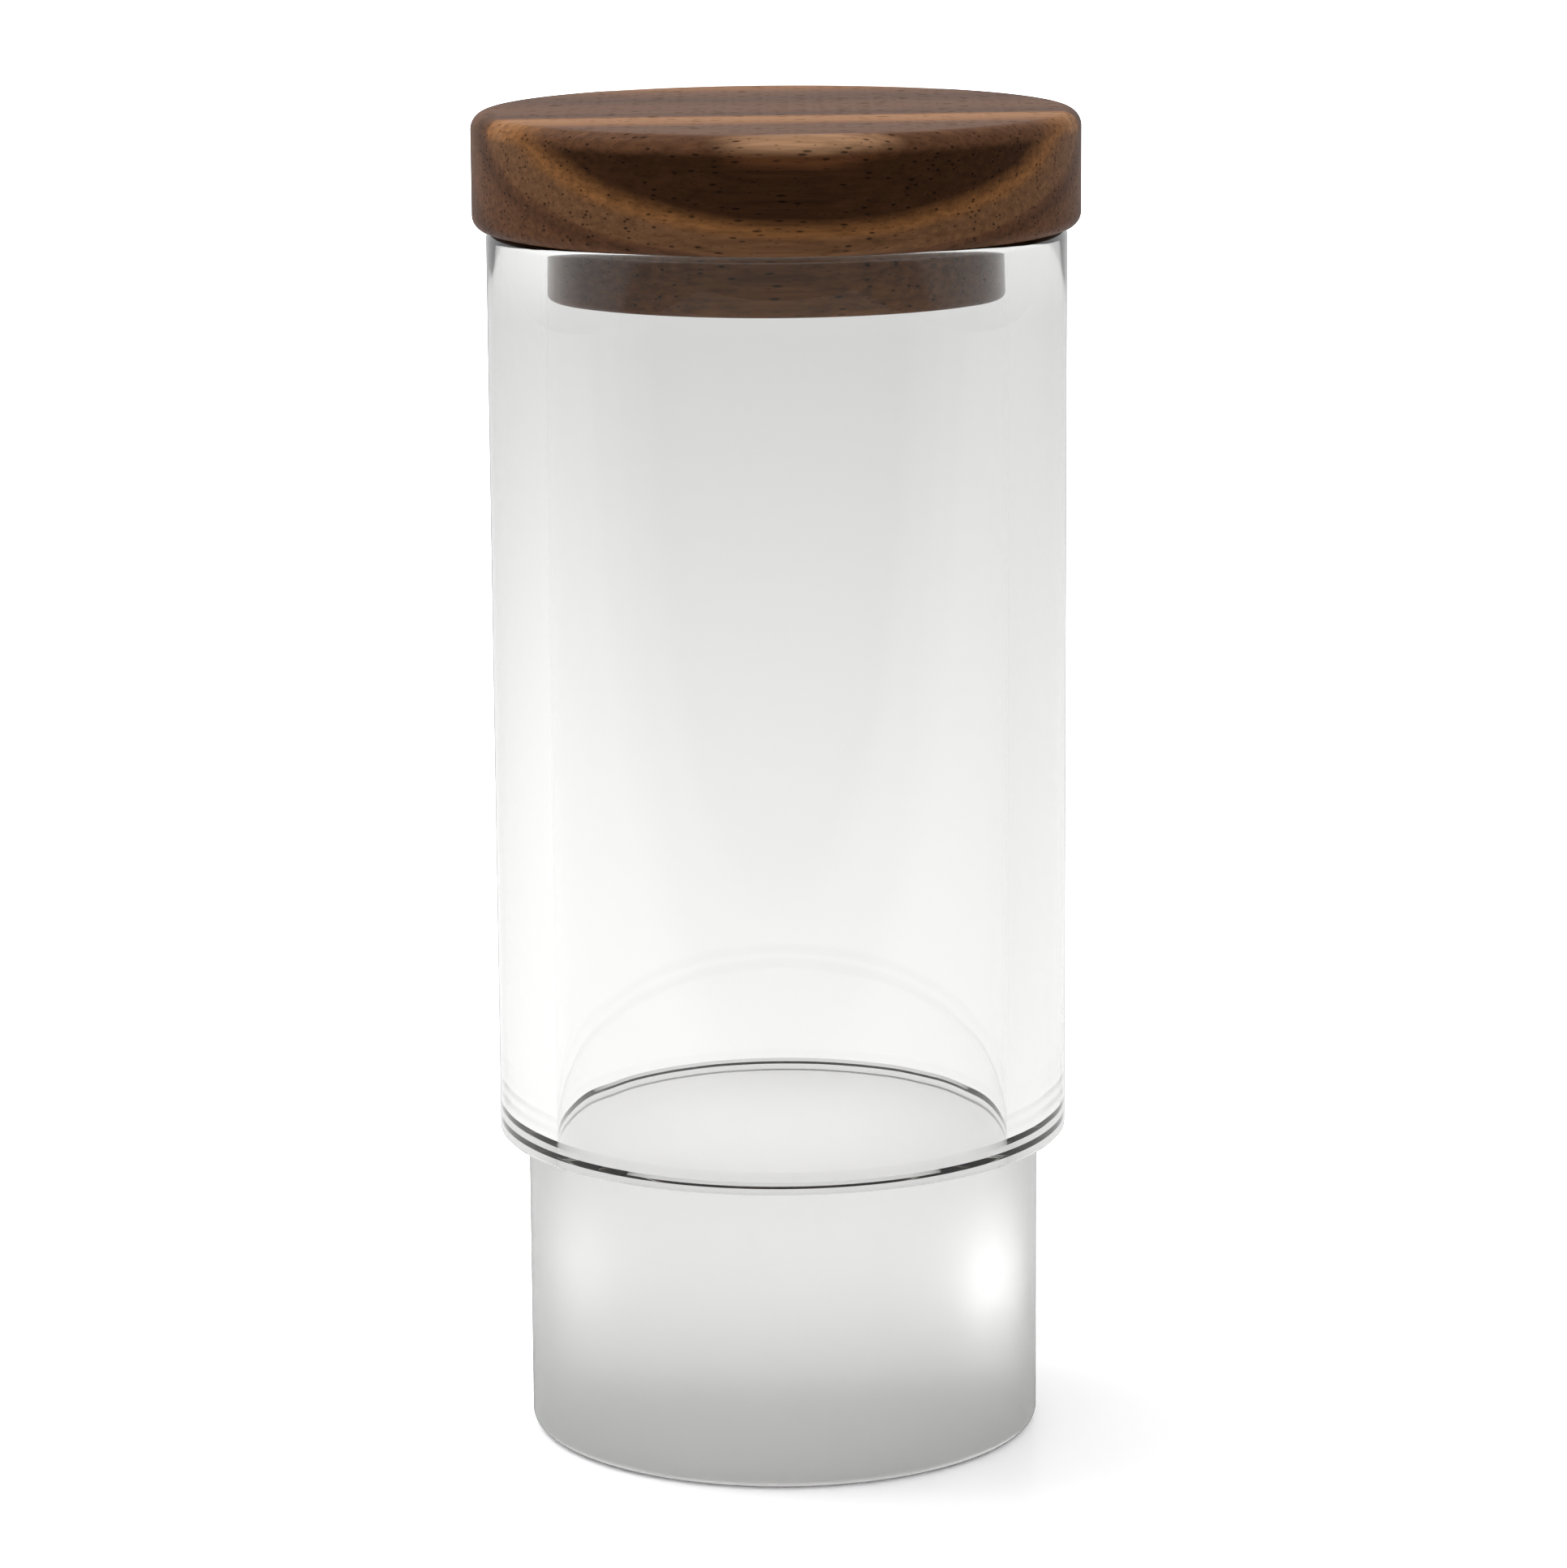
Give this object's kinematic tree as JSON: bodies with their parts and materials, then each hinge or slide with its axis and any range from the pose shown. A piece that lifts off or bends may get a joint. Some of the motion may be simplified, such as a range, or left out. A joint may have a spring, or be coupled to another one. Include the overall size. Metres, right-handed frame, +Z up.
{
  "type": "lidded glass canister",
  "caption": "Heavy clear glass cylinder bonded to a narrower solid frosted glass foot, with a thick rounded dark wooden lid that plugs into the bore and lifts off.",
  "frame": {"origin": "centre of the flat face that the foot stands on", "axes": "+Z up along the canister's axis of revolution, out of its mouth; +X to the viewer's right with the viewer looking along +Y, along the grain of the wooden lid"},
  "size_m": [0.0944, 0.0944, 0.2096],
  "materials": {
    "frosted_glass": "clear glass, etched to an even satin frost on every outer face",
    "clear_adhesive": "clear cured adhesive",
    "clear_glass": "polished clear glass with a faint green cast through its thickness",
    "lid_wood": "dark brown open-pored hardwood with an orange-brown stripe, satin oil"
  },
  "bodies": {
    "canister": {"frosted_foot": "frosted_glass", "bond_ring": "clear_adhesive", "glass_tube": "clear_glass"},
    "lid": {"lid_disc": "lid_wood", "lid_plug": "lid_wood"}
  },
  "joints": [
    {"name": "lid_lift", "type": "slide", "parent": "canister", "child": "lid", "axis": [0, 0, 1], "range_m": [0, 0.06]}
  ]
}
